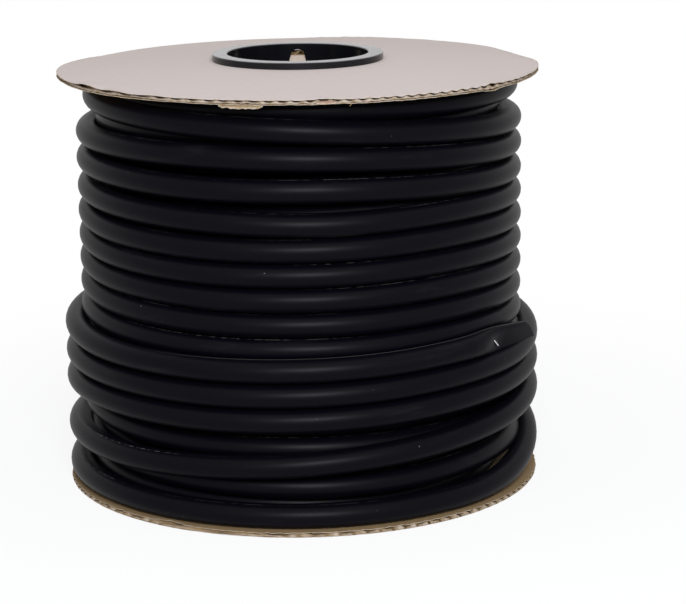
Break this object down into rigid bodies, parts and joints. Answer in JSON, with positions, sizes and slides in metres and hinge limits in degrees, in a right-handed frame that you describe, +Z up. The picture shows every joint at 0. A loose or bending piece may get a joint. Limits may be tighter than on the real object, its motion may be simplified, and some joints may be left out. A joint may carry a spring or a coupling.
{
  "type": "soaker hose on a reel",
  "caption": "Bulk reel of black rubber soaker hose: corrugated board flanges on a kraft core tube, moulded collars with a through bore, and the flattened, stapled hose end.",
  "frame": {"origin": "on the floor under the centre of the spindle bore, at the lower collar's face", "axes": "+Z up along the reel's axis; the front of the reel, where the hose end lies to the right, faces -Y"},
  "size_m": [0.32, 0.32, 0.2857],
  "materials": {
    "collar_plastic": "glossy moulded",
    "core_kraft": "wound kraft paper",
    "outer_liner": "smooth pale kraft liner",
    "fluting": "rough kraft medium",
    "inner_liner": "kraft liner",
    "hose_rubber": "satin, slightly porous",
    "staple_steel": "bright zinc-plated wire"
  },
  "bodies": {
    "root": {"upper_collar": "collar_plastic", "lower_collar": "collar_plastic", "core_tube": "core_kraft", "upper_flange_outer_liner": "outer_liner", "upper_flange_fluting": "fluting", "upper_flange_inner_liner": "inner_liner", "lower_flange_outer_liner": "outer_liner", "lower_flange_fluting": "fluting", "lower_flange_inner_liner": "inner_liner", "hose_inner_layers": "hose_rubber", "hose_winding": "hose_rubber", "hose_tail": "hose_rubber", "tail_staple": "staple_steel"}
  },
  "joints": []
}
